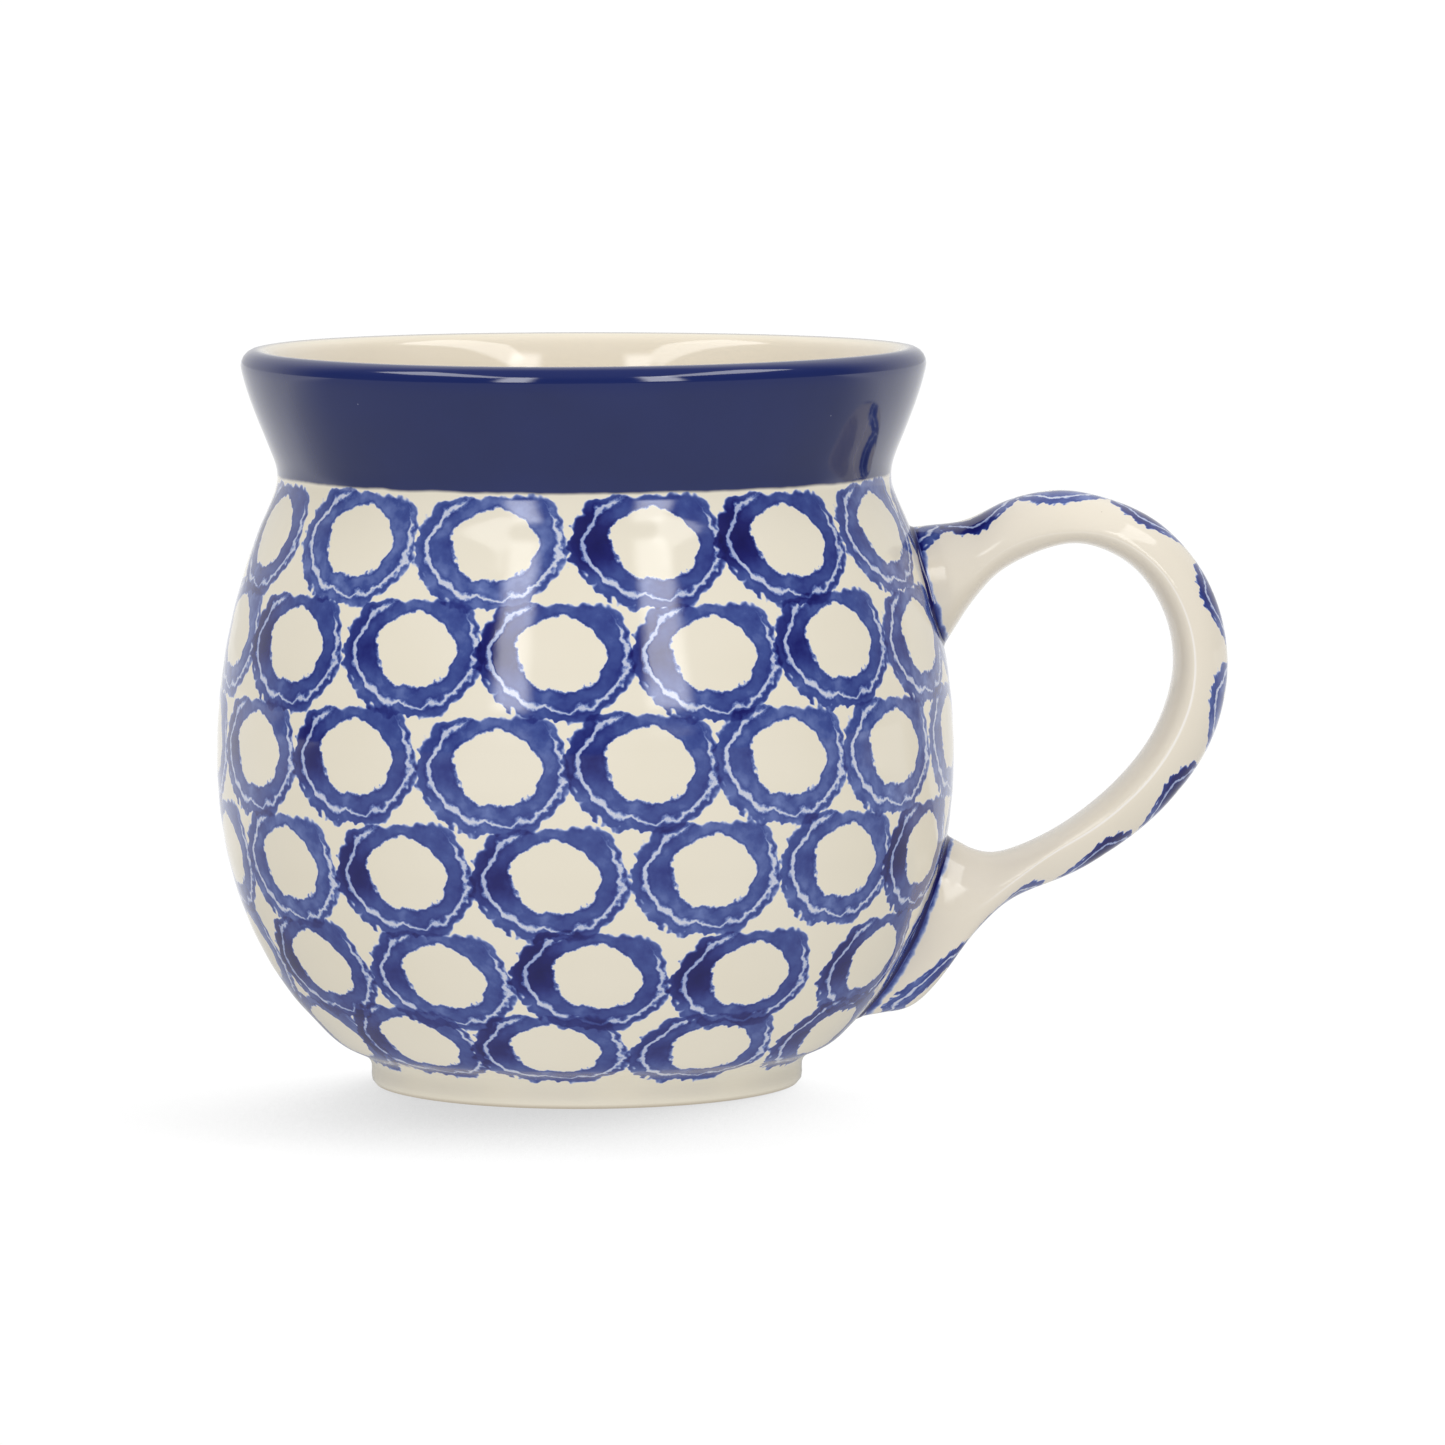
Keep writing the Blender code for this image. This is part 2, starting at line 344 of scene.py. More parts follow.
# ---- Shader building ----------------------------------------------------------------------------
class Graph:
    """Short forms for adding nodes; a value is a number, a tuple or another node's output."""

    def __init__(self, tree):
        self.tree = tree

    def node(self, kind, **settings):
        node = self.tree.nodes.new(kind)
        for name, value in settings.items():
            setattr(node, name, value)
        return node

    def feed(self, socket, value):
        if isinstance(value, bpy.types.NodeSocket):
            self.tree.links.new(value, socket)
        elif value is not None:
            socket.default_value = value

    def math(self, operation, a, b=None, c=None, clamp=False):
        node = self.node("ShaderNodeMath", operation=operation, use_clamp=clamp)
        for socket, value in zip(node.inputs, (a, b, c)):
            self.feed(socket, value)
        return node.outputs[0]

    def length(self, a, b):
        """Length of the side across from a right angle."""
        return self.math("SQRT", self.math("MULTIPLY_ADD", a, a, self.math("MULTIPLY", b, b)))

    def degrees(self, radians):
        return self.math("MULTIPLY", radians, 180 / math.pi)

    def total(self, values):
        result = values[0]
        for value in values[1:]:
            result = self.math("ADD", result, value)
        return result

    def ramp_up(self, value, low, high):
        """0 below low, 1 above high, smooth between."""
        node = self.node("ShaderNodeMapRange", interpolation_type="SMOOTHSTEP")
        self.feed(node.inputs["Value"], value)
        self.feed(node.inputs["From Min"], low)
        self.feed(node.inputs["From Max"], high)
        return node.outputs["Result"]

    def band(self, value, low, high, edge):
        return self.math("MULTIPLY", self.ramp_up(value, low - edge, low + edge),
                         self.math("SUBTRACT", 1.0, self.ramp_up(value, high - edge, high + edge)))

    def noise(self, vector, scale, detail=2.0, roughness=0.5):
        """Fractal noise, centred on 0."""
        node = self.node("ShaderNodeTexNoise")
        self.feed(node.inputs["Vector"], vector)
        node.inputs["Scale"].default_value = scale
        node.inputs["Detail"].default_value = detail
        node.inputs["Roughness"].default_value = roughness
        return self.math("SUBTRACT", node.outputs["Fac"], 0.5)

    def attribute(self, name):
        return self.node("ShaderNodeAttribute", attribute_name=name)

    def curve(self, value, points):
        """A smooth curve through (input, output) points, both 0 to 1."""
        node = self.node("ShaderNodeFloatCurve")
        self.feed(node.inputs["Value"], value)
        mapping = node.mapping
        line = mapping.curves[0]
        line.points[0].location = points[0]
        line.points[1].location = points[-1]
        for x, y in points[1:-1]:
            line.points.new(x, y)
        mapping.update()
        return node.outputs[0]

    def mix(self, share, a, b, blend_type="MIX"):
        node = self.node("ShaderNodeMix", data_type="RGBA", blend_type=blend_type)
        self.feed(node.inputs["Factor"], share)
        self.feed(node.inputs["A"], a)
        self.feed(node.inputs["B"], b)
        return node.outputs["Result"]

    def color_ramp(self, value, stops):
        node = self.node("ShaderNodeValToRGB")
        self.feed(node.inputs["Fac"], value)
        elements = node.color_ramp.elements
        elements[0].position, elements[0].color = stops[0][0], rgba(stops[0][1])
        elements[1].position, elements[1].color = stops[-1][0], rgba(stops[-1][1])
        for position, color in stops[1:-1]:
            elements.new(position).color = rgba(color)
        return node.outputs["Color"]


def rgba(srgb):
    """Linear colour from 0-255 screen values."""
    linear = []
    for value in srgb:
        share = value / 255
        linear.append(share / 12.92 if share <= 0.04045 else ((share + 0.055) / 1.055) ** 2.4)
    return (*linear, 1.0)


# A plain ring, heavier on its left: distance from its middle in mm at angles in degrees, anticlockwise
# from the right. The pale line runs from the upper left, under the middle, to the right.
EYE_EDGE = ((0, 5.2), (90, 4.5), (180, 5.4), (270, 4.7), (360, 5.2))
LINE_MIDDLE = ((0, 8.1), (120, 6.8), (145, 7.3), (180, 8.4), (225, 7.3), (270, 6.8), (320, 7.4), (360, 8.1))
LINE_WIDTH = ((0, 0.45), (20, 0.45), (30, 0.0), (120, 0.0), (132, 0.45), (180, 0.80), (225, 0.65),
              (270, 0.42), (340, 0.55), (360, 0.45))
OUTER_EDGE = ((0, 8.6), (45, 7.8), (90, 6.0), (135, 8.1), (180, 10.1), (225, 9.1), (270, 8.1), (315, 8.3),
              (360, 8.6))
STAMP_REACH = 12.0              # mm; the outlines are stored as shares of this
UNEVENNESS = 2.6                # mm; the sponge was cut by hand
EDGE_BLUR = 0.21                # mm of soaking at the edge of the ink
LINE_INK = 0.13                 # what is left of the ink in the pale line
# Depth of the ink: everywhere, by blotches, added in the fullest stamp, along the eye, along the pale line
BASE_INK, BLOTCH_INK, FULLER_INK, EYE_RIM_INK, LINE_RIM_INK = 0.46, 0.8, 0.16, 0.12, 0.10
RIM_FADE = (0.6, 0.1)           # mm from an edge: where the gathered ink ends and is full
POOL_MIDDLE, POOL_SIZE = (-7.6, 0.8), (3.6, 5.0)    # mm right and up
POOL_INK, FULLER_POOL = 0.06, 0.6


def outline_curve(graph, turn, outline):
    points = [(degrees / 360, length / STAMP_REACH) for degrees, length in outline]
    return graph.math("MULTIPLY", graph.curve(turn, points), STAMP_REACH)


def stamp_group():
    """Ink laid by one stamp: an open eye, a broad band, a pale line and a ragged outer ring."""
    tree = bpy.data.node_groups.new("ring_stamp", "ShaderNodeTree")
    tree.interface.new_socket("Place", in_out="INPUT", socket_type="NodeSocketVector")
    tree.interface.new_socket("Ink", in_out="OUTPUT", socket_type="NodeSocketFloat")
    graph = Graph(tree)
    place = graph.node("NodeGroupInput").outputs["Place"]
    split = graph.node("ShaderNodeSeparateXYZ")
    graph.feed(split.inputs[0], place)
    right, up, ink = split.outputs
    turn = graph.math("DIVIDE", graph.math("ARCTAN2", up, right), 2 * math.pi)
    turn = graph.math("FRACT", graph.math("ADD", turn, 1.0))
    distance = graph.length(right, up)

    # The same torn edge in each stamp, but for small differences
    torn = graph.node("ShaderNodeCombineXYZ")
    graph.feed(torn.inputs[0], right)
    graph.feed(torn.inputs[1], up)
    graph.feed(torn.inputs[2], graph.math("MULTIPLY", ink, 0.25))
    fine = graph.noise(torn.outputs[0], 1.3, 2.0, 0.5)
    coarse = graph.noise(torn.outputs[0], 0.9, 1.0, 0.5)
    uneven = graph.math("MULTIPLY", graph.noise(torn.outputs[0], 0.32, 1.0), UNEVENNESS)
    down_left = graph.math("MULTIPLY", graph.math("ADD", right, up), -1.0)
    lower_left = graph.ramp_up(down_left, 4.0, 9.0)

    eye = graph.total([uneven, fine, outline_curve(graph, turn, EYE_EDGE)])
    from_eye = graph.math("SUBTRACT", distance, eye)
    teeth = graph.math("MULTIPLY", coarse, graph.math("MULTIPLY_ADD", lower_left, 1.2, 1.0))
    edge = graph.total([uneven, teeth, outline_curve(graph, turn, OUTER_EDGE)])
    line = graph.total([uneven, fine, outline_curve(graph, turn, LINE_MIDDLE)])
    off_line = graph.math("ABSOLUTE", graph.math("SUBTRACT", distance, line))
    width = graph.math("MULTIPLY_ADD", coarse, 0.35, outline_curve(graph, turn, LINE_WIDTH))
    off_line = graph.math("SUBTRACT", off_line, graph.math("MULTIPLY", width, 0.5))
    from_edge = graph.math("SUBTRACT", edge, distance)
    laid = graph.math("MULTIPLY", graph.ramp_up(from_eye, -EDGE_BLUR, EDGE_BLUR),
                      graph.ramp_up(from_edge, -EDGE_BLUR, EDGE_BLUR))
    beside_line = graph.ramp_up(off_line, -EDGE_BLUR, EDGE_BLUR)
    laid = graph.math("MULTIPLY", laid, graph.math("MULTIPLY_ADD", beside_line, 1 - LINE_INK, LINE_INK))

    # The colour pools on the left, more in some stamps than in others, and gathers along the edges
    pool_right = graph.math("DIVIDE", graph.math("SUBTRACT", right, POOL_MIDDLE[0]), POOL_SIZE[0])
    pool_up = graph.math("DIVIDE", graph.math("SUBTRACT", up, POOL_MIDDLE[1]), POOL_SIZE[1])
    pool = graph.math("SUBTRACT", 1.0, graph.ramp_up(graph.length(pool_right, pool_up), 0.1, 1.3))
    fullness = graph.math("MULTIPLY", ink, ink)
    pool = graph.math("MULTIPLY", pool, graph.math("MULTIPLY_ADD", fullness, FULLER_POOL, POOL_INK))
    strength = graph.total([
        graph.math("MULTIPLY_ADD", graph.noise(place, 0.4, 3.0), BLOTCH_INK, BASE_INK),
        graph.math("MULTIPLY", ink, FULLER_INK),
        graph.math("MULTIPLY", graph.ramp_up(from_eye, *RIM_FADE), EYE_RIM_INK),
        graph.math("MULTIPLY", graph.ramp_up(off_line, *RIM_FADE), LINE_RIM_INK),
        pool,
    ])
    graph.feed(graph.node("NodeGroupOutput").inputs["Ink"], graph.math("MULTIPLY", laid, strength))
    return tree


DEEPEST_INK = 2.0
INK_COLORS = (                  # at shares of the deepest ink
    (0.00, (230, 223, 207)),
    (0.04, (196, 200, 216)),
    (0.09, (148, 161, 200)),
    (0.17, (100, 117, 174)),
    (0.27, (62, 79, 144)),
    (0.38, (41, 53, 124)),
    (0.50, (20, 24, 99)),
    (0.70, (9, 9, 80)),
    (1.00, (5, 4, 62)),
)
SECOND_STAMP = 0.45             # how much of its colour a stamp adds on top of another
CREAM = (229, 222, 206)
# painted light: the inside's cream is the outside's cream painted a little lighter, for the brighter light
# inside
INNER_CREAM = (234, 225, 209)
HANDLE_CREAM = (229, 221, 207)
# painted highlight: colour of the pale line painted along the handle's ridge
RIDGE_HIGHLIGHT_COLOR = (244, 240, 236)    # along the handle's ridge
COBALT = (33, 44, 95)
COBALT_NEAR_LIP = (12, 30, 92)
BARE_CLAY = (188, 176, 156)
CLOUD_SHADE = (7, 8, 13)        # how much darker the clouds in the cream are
IRON_SPECK = (120, 96, 74)
PINHOLE = (190, 196, 220)
GLAZE_IOR = 1.52
ROUGHNESS, INNER_ROUGHNESS = 0.075, 0.05
CREAM_GLOSS, INK_GLOSS = 0.28, 0.62
SPECK_CELLS, PINHOLE_CELLS = 0.14, 0.3  # cells to a mm; each holds one speck or pinhole at most
COLLAR_START = (-0.9, 0.5)      # mm outside the crest of the lip: where the cobalt starts and is full
COLLAR_END = NECK_ARC - 0.45


def new_material(name):
    material = bpy.data.materials.new(name)
    material.use_nodes = True
    material.node_tree.nodes.clear()
    return material, Graph(material.node_tree)


def glaze_shader(graph, color, roughness, bump_height, ink=0.0):
    """Clear glossy glaze with a faint orange-peel surface, a little glossier over the ink."""
    shader = graph.node("ShaderNodeBsdfPrincipled")
    graph.feed(shader.inputs["Base Color"], color)
    gloss = graph.math("MULTIPLY_ADD", graph.ramp_up(ink, 0.0, 0.1), INK_GLOSS - CREAM_GLOSS, CREAM_GLOSS)
    graph.feed(shader.inputs["Specular IOR Level"], gloss)
    graph.feed(shader.inputs["Roughness"], roughness)
    shader.inputs["IOR"].default_value = GLAZE_IOR
    bump = graph.node("ShaderNodeBump")
    bump.inputs["Strength"].default_value = 1.0
    bump.inputs["Distance"].default_value = MM
    graph.feed(bump.inputs["Height"], bump_height)
    graph.feed(shader.inputs["Normal"], bump.outputs["Normal"])
    output = graph.node("ShaderNodeOutputMaterial")
    graph.feed(output.inputs["Surface"], shader.outputs["BSDF"])


def object_place(graph):
    """Position in mm."""
    scaled = graph.node("ShaderNodeVectorMath", operation="SCALE")
    graph.feed(scaled.inputs[0], graph.node("ShaderNodeTexCoord").outputs["Object"])
    scaled.inputs["Scale"].default_value = 1 / MM
    return scaled.outputs[0]


def glaze_ripple(graph, place):
    """Height of the glaze's faint waves, in mm."""
    broad = graph.math("MULTIPLY", graph.noise(place, 0.11, 2.0), 0.035)
    fine = graph.math("MULTIPLY", graph.noise(place, 0.9, 1.0), 0.0022)
    return graph.math("ADD", broad, fine)


def cream_glaze(graph, place, cream):
    """Cream with soft clouds and a few iron specks."""
    clouds = graph.noise(place, 0.05, 3.0)
    warm = graph.mix(graph.math("MULTIPLY_ADD", clouds, 0.9, 0.35, clamp=True),
                     rgba(cream), rgba([c - d for c, d in zip(cream, CLOUD_SHADE)]))
    cells = graph.node("ShaderNodeTexVoronoi")
    graph.feed(cells.inputs["Vector"], place)
    cells.inputs["Scale"].default_value = SPECK_CELLS
    rare = graph.node("ShaderNodeSeparateColor")
    graph.feed(rare.inputs[0], cells.outputs["Color"])
    chosen = graph.ramp_up(rare.outputs[0], 0.52, 0.60)
    size = graph.math("MULTIPLY_ADD", rare.outputs[1], 0.016, 0.010)
    speck = graph.math("SUBTRACT", 1.0, graph.ramp_up(cells.outputs["Distance"], 0.0, size))
    speck = graph.math("MULTIPLY", graph.math("MULTIPLY", speck, chosen), 0.8)
    return graph.mix(speck, warm, rgba(IRON_SPECK))


def inked(graph, cream, ink):
    """The cream's colour with ink over it."""
    share = graph.ramp_up(ink, 0.0, 0.07)
    level = graph.math("MULTIPLY", ink, 1 / DEEPEST_INK)
    return graph.mix(share, cream, graph.color_ramp(level, INK_COLORS))


STAMP_GROUP = stamp_group()


def layered_ink(graph, layer_count):
    """Ink of all layers together; where stamps overlap, the fainter one adds only a part."""
    ink = None
    for i in range(layer_count):
        stamp = graph.node("ShaderNodeGroup", node_tree=STAMP_GROUP)
        graph.feed(stamp.inputs["Place"], graph.attribute(f"stamp_{i}").outputs["Vector"])
        laid = stamp.outputs["Ink"]
        if ink is None:
            ink = laid
        else:
            ink = graph.math("MULTIPLY_ADD", graph.math("MINIMUM", ink, laid), SECOND_STAMP,
                             graph.math("MAXIMUM", ink, laid))
    return ink


def outside_material(layer_count):
    """Cobalt collar, stamped belly, plain foot, and a bare ring of clay where the foot stands."""
    material, graph = new_material("stamped_glaze")
    place = object_place(graph)
    arc = graph.attribute("arc").outputs["Fac"]
    waver = graph.noise(place, 0.16, 3.0)
    ink = layered_ink(graph, layer_count)
    belly = inked(graph, cream_glaze(graph, place, CREAM), ink)

    # Cobalt collar: from just outside the crest of the lip to the neck line
    wavering_arc = graph.math("MULTIPLY_ADD", waver, 0.6, arc)
    in_collar = graph.math("MULTIPLY", graph.ramp_up(arc, *COLLAR_START),
                           graph.ramp_up(wavering_arc, COLLAR_END + 0.25, COLLAR_END - 0.25))
    depth = graph.noise(place, 0.10, 4.0)
    # the collar is painted darker from the lip down to about 5 mm below its crest
    near_lip = graph.math("SUBTRACT", 1.0, graph.ramp_up(arc, 2.0, 5.0))
    cobalt = graph.mix(graph.math("MULTIPLY_ADD", depth, 0.8, 0.3, clamp=True),
                       rgba(COBALT), rgba([c * 0.8 for c in COBALT]))
    cobalt = graph.mix(graph.math("MULTIPLY", near_lip, 0.7), cobalt, rgba(COBALT_NEAR_LIP))
    pinholes = graph.node("ShaderNodeTexVoronoi")
    graph.feed(pinholes.inputs["Vector"], place)
    pinholes.inputs["Scale"].default_value = PINHOLE_CELLS
    pick = graph.node("ShaderNodeSeparateColor")
    graph.feed(pick.inputs[0], pinholes.outputs["Color"])
    pinhole = graph.math("SUBTRACT", 1.0, graph.ramp_up(pinholes.outputs["Distance"], 0.0, 0.035))
    pinhole = graph.math("MULTIPLY", pinhole, graph.ramp_up(pick.outputs[0], 0.6, 0.7))
    cobalt = graph.mix(graph.math("MULTIPLY", pinhole, 0.5), cobalt, rgba(PINHOLE))
    color = graph.mix(in_collar, belly, cobalt)

    clay = graph.attribute("bare_clay").outputs["Fac"]
    color = graph.mix(clay, color, rgba(BARE_CLAY))
    roughness = graph.math("MULTIPLY_ADD", clay, 0.6, ROUGHNESS)
    relief = graph.math("MULTIPLY", ink, 0.004)
    glaze_shader(graph, color, roughness, graph.math("ADD", glaze_ripple(graph, place), relief),
                 graph.math("ADD", ink, in_collar))
    return material


def inside_material():
    """Plain cream, smoother than outside."""
    material, graph = new_material("inner_cream_glaze")
    place = object_place(graph)
    ripple = graph.math("MULTIPLY", glaze_ripple(graph, place), 0.4)
    glaze_shader(graph, cream_glaze(graph, place, INNER_CREAM), INNER_ROUGHNESS, ripple, 0.05)
    return material


def handle_material(layer_count):
    """Cream strap with a painted highlight line along its ridge, stamped on its outer face, with colour
    along both joints.
    """
    material, graph = new_material("handle_glaze")
    place = object_place(graph)
    ink = layered_ink(graph, layer_count)
    over_wall = graph.attribute("over_wall").outputs["Fac"]
    waver = graph.noise(place, 0.5, 3.0)
    edge = graph.math("MULTIPLY_ADD", waver, 1.2, over_wall)
    gathered = graph.ramp_up(edge, 1.1, 0.3)
    ink = graph.math("MULTIPLY_ADD", gathered, 0.75, ink)
    # painted highlight: a pale line along the ridge, faded near both roots and on the upper part of the
    # loop
    painted_highlight = graph.ramp_up(graph.attribute("ridge").outputs["Fac"], 0.45, 0.95)
    painted_highlight = graph.math("MULTIPLY", painted_highlight, graph.ramp_up(over_wall, 5.0, 11.0))
    cream = graph.mix(graph.math("MULTIPLY", painted_highlight, 0.8), cream_glaze(graph, place, HANDLE_CREAM),
                      rgba(RIDGE_HIGHLIGHT_COLOR))
    color = inked(graph, cream, ink)
    glaze_shader(graph, color, ROUGHNESS, glaze_ripple(graph, place), ink)
    return material


def bead_material():
    """Cobalt line along the crease, thinning out onto the body and the handle."""
    material, graph = new_material("joint_cobalt_line")
    place = object_place(graph)
    across = graph.attribute("across").outputs["Fac"]
    waver = graph.math("MULTIPLY", graph.noise(place, 0.45, 3.0), 0.30)
    line = graph.band(graph.math("ADD", across, waver), 0.22, 0.78, 0.16)
    ink = graph.math("MULTIPLY", line, 1.4)
    color = inked(graph, cream_glaze(graph, place, CREAM), ink)
    glaze_shader(graph, color, ROUGHNESS, glaze_ripple(graph, place), ink)
    return material


# ---- Pieces -------------------------------------------------------------------------------------
def make_body():
    """Turns the fine section, with the small unevenness of a thrown pot."""
    rings = SECTION[1:-1]
    arcs = ARC[1:-1]
    angle = np.linspace(0, 2 * np.pi, ROUND_STEPS, endpoint=False)
    theta = np.tile(angle, len(rings))
    radius = np.repeat(rings[:, 0], ROUND_STEPS)
    z = np.repeat(rings[:, 1], ROUND_STEPS)
    arc = np.repeat(arcs, ROUND_STEPS)
    lift = np.clip(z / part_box("mug_body")[1].z, 0, 1)
    wobble = OVALITY * lift * np.sin(2 * theta + 0.7)
    wobble += 0.4 * OVALITY * lift * np.sin(3 * theta + 40 * z)
    away_from_axis = np.clip(radius / (20 * MM) - 0.3, 0, 1)
    away_from_lip = np.clip(np.abs(arc) / 10 - 0.8, 0, 1)
    ridges = THROWING_RIDGE * np.sin(arc * THROWING_TURN + theta) * away_from_axis
    ridges *= (z > 4 * MM) * away_from_lip
    radius = radius + wobble + ridges
    z = z + RIM_WAVE * lift**6 * np.sin(2 * theta + 2.1)
    x = radius * np.cos(theta)
    y = radius * np.sin(theta)
    poles = [(0.0, 0.0, SECTION[0, 1]), (0.0, 0.0, SECTION[-1, 1])]
    vertices = np.vstack([np.column_stack([x, y, z]), poles])
    faces = grid_faces(len(rings), ROUND_STEPS)
    floor_pole = len(vertices) - 2
    base_pole = len(vertices) - 1
    last = (len(rings) - 1) * ROUND_STEPS
    for j in range(ROUND_STEPS):
        right = (j + 1) % ROUND_STEPS
        faces.append((floor_pole, right, j))
        faces.append((base_pole, last + j, last + right))
    all_theta = np.append(theta, (0, 0))
    all_arc = np.append(arc, (ARC[0], ARC[-1]))
    all_radius = np.append(radius, (0, 0))
    on_foot = (all_arc > 0) & (vertices[:, 2] < BARE_HEIGHT) & (all_radius > FOOT_INSIDE)
    attributes = {"arc": all_arc, "bare_clay": on_foot.astype(float)}
    layers = into_layers(body_stamps())
    first_outside = np.searchsorted(arcs, INSIDE_END) * ROUND_STEPS
    inside = [max(face[:3]) < first_outside or floor_pole in face for face in faces]
    materials = [outside_material(len(layers)), inside_material()]
    body = make_piece("thrown_body", vertices, faces, attributes, materials,
                      np.array(inside, np.int32))
    mark_corners(body, [[places_from(stamp, all_theta, all_arc, all_radius) for stamp in layer]
                        for layer in layers])
    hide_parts("mug_body")
    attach(body, "root")


def handle_chains():
    """The CAD handle's outer and inner outline, each from the upper root to the lower one."""
    def clear_of_body(co):
        return height_over_wall(np.array([co.x, co.y, co.z])) > CAD_CUT_REACH

    chains = [c for c in plane_chain("handle", clear_of_body) if len(c) > 6]
    chains.sort(key=lambda c: -lengths_along(c)[-1])
    outer, inner = chains[:2]
    return [c if c[0, 1] > c[-1, 1] else c[::-1] for c in (outer, inner)]


def extended(curve, length, count):
    """The curve with straight runs added at both ends."""
    start = curve[0] - curve[3]
    start /= np.linalg.norm(start)
    end = curve[-1] - curve[-4]
    end /= np.linalg.norm(end)
    steps = np.linspace(length, 0, count, endpoint=False)[:, None]
    return np.vstack([curve[0] + start * steps, curve, curve[-1] + end * steps[::-1]])


def handle_rings():
    """Sections across the handle, from the upper root to the lower one, both run into the wall."""
    outer, inner = [spline(c, HANDLE_RINGS) for c in handle_chains()]
    outer = soften(outer, 2)
    inner = soften(inner, 2)
    cad = np.array([v.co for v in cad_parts["handle"].data.vertices])
    middle = (outer + inner) / 2
    half_width = []
    for x, z in middle:
        near = np.hypot(cad[:, 0] - x, cad[:, 2] - z) < WIDTH_REACH
        half_width.append(cad[near, 1].max())
    half_width = soften(half_width, 40)
    outer = extended(outer, ROOT_SINK, ROOT_RINGS)
    inner = extended(inner, ROOT_SINK, ROOT_RINGS)
    half_width = np.pad(half_width, ROOT_RINGS, mode="edge")
    turn = np.linspace(0, 2 * np.pi, HANDLE_SIDES, endpoint=False)
    cos, sin = np.cos(turn), np.sin(turn)
    from_ridge = np.sign(cos) * np.abs(cos) ** (2 / HANDLE_POWER) * (1 - np.sign(cos) * RIDGE_AT)
    thick = RIDGE_AT + from_ridge
    wide = np.sign(sin) * np.abs(sin) ** (2 / HANDLE_POWER) * (1 - RIDGE_TILT * np.abs(from_ridge))
    rings = []
    for o, i, w in zip(outer, inner, half_width):
        center = (o + i) / 2
        across = (o - i) / 2
        xz = center + thick[:, None] * across
        rings.append(np.column_stack([xz[:, 0], wide * w, xz[:, 1]]))
    return np.array(rings)


def handle_stamp_places(rings):
    """Places on the stamps along the outer face, in two layers; their left sides are towards -Y."""
    along = lengths_along(rings[:, 0]) / MM
    girth = np.linalg.norm(np.diff(rings, axis=1, append=rings[:, :1]), axis=2) / MM
    around = np.concatenate([np.zeros((len(rings), 1)), np.cumsum(girth, axis=1)[:, :-1]], axis=1)
    whole = girth.sum(axis=1)[:, None]
    across = np.where(around > whole / 2, around - whole, around).ravel()
    along = np.repeat(along, rings.shape[1])
    layers = ([], [])
    for k, (middle, side) in enumerate(HANDLE_STAMPS):
        right = (across - side) / HANDLE_STAMP_SCALE
        up = (middle - along) / HANDLE_STAMP_SCALE
        layers[k % 2].append(np.column_stack([right, up, np.full(len(up), random.random())]))
    return layers


def make_handle(rings):
    count = len(rings)
    vertices = rings.reshape(-1, 3)
    faces = grid_faces(count, HANDLE_SIDES)
    faces.append(tuple(range(HANDLE_SIDES)))
    faces.append(tuple(range((count - 1) * HANDLE_SIDES, count * HANDLE_SIDES)))
    layers = handle_stamp_places(rings)
    # strength of the painted highlight along the ridge, fainter on the upper part of the loop
    ridge = np.zeros(rings.shape[:2])
    fading = np.interp(np.linspace(0, 1, count), (0.25, 0.5), (0.62, 1.0))
    ridge[:, [HANDLE_SIDES // 4, 3 * HANDLE_SIDES // 4]] = fading[:, None]
    attributes = {"over_wall": height_over_wall(vertices) / MM, "ridge": ridge.ravel()}
    handle = make_piece("pulled_handle", vertices, faces, attributes, [handle_material(len(layers))])
    mark_corners(handle, layers)
    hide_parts("handle")
    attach(handle, "root")


def crossing(line):
    """Where a lengthwise line of the handle, running outwards, leaves the wall, and its direction."""
    height = height_over_wall(line)
    k = int(np.argmax(height > 0))
    share = height[k - 1] / (height[k - 1] - height[k])
    point = line[k - 1] + (line[k] - line[k - 1]) * share
    ahead = line[min(k + 2, len(line) - 1)] - point
    return point, ahead / np.linalg.norm(ahead)


def make_bead(name, node, rings, material):
    """A closed ring of slip in the corner between the body and one root of the handle."""
    joints, onto_handle = zip(*[crossing(rings[:, j]) for j in range(HANDLE_SIDES)])
    joints = np.array(joints)
    middle = joints.mean(axis=0)
    sections = []
    across = []
    for point, along_handle in zip(joints, onto_handle):
        normal = wall_normal(point)
        away = point - middle
        away -= normal * (away @ normal)
        away /= np.linalg.norm(away)
        body_end = point + away * BEAD_ON_BODY
        body_end -= wall_normal(body_end) * (float(height_over_wall(body_end)) + BEAD_SINK)
        inward = -away + along_handle * (away @ along_handle)
        inward /= np.linalg.norm(inward)
        handle_end = point + along_handle * BEAD_ON_HANDLE + inward * BEAD_SINK
        t = np.linspace(0, 1, BEAD_POINTS)[:, None]
        arc = (1 - t) ** 2 * body_end + 2 * t * (1 - t) * point + t**2 * handle_end
        core = point + (inward - normal) * BEAD_CORE
        sections.append(np.vstack([arc, core]))
        across.append(np.append(t[:, 0], 0.5))
    vertices = np.array(sections).reshape(-1, 3)
    faces = grid_faces(HANDLE_SIDES, BEAD_POINTS + 1, close_rows=True)
    bead = make_piece(name, vertices, faces, {"across": np.array(across).ravel()}, [material])
    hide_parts(node)
    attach(bead, "root")


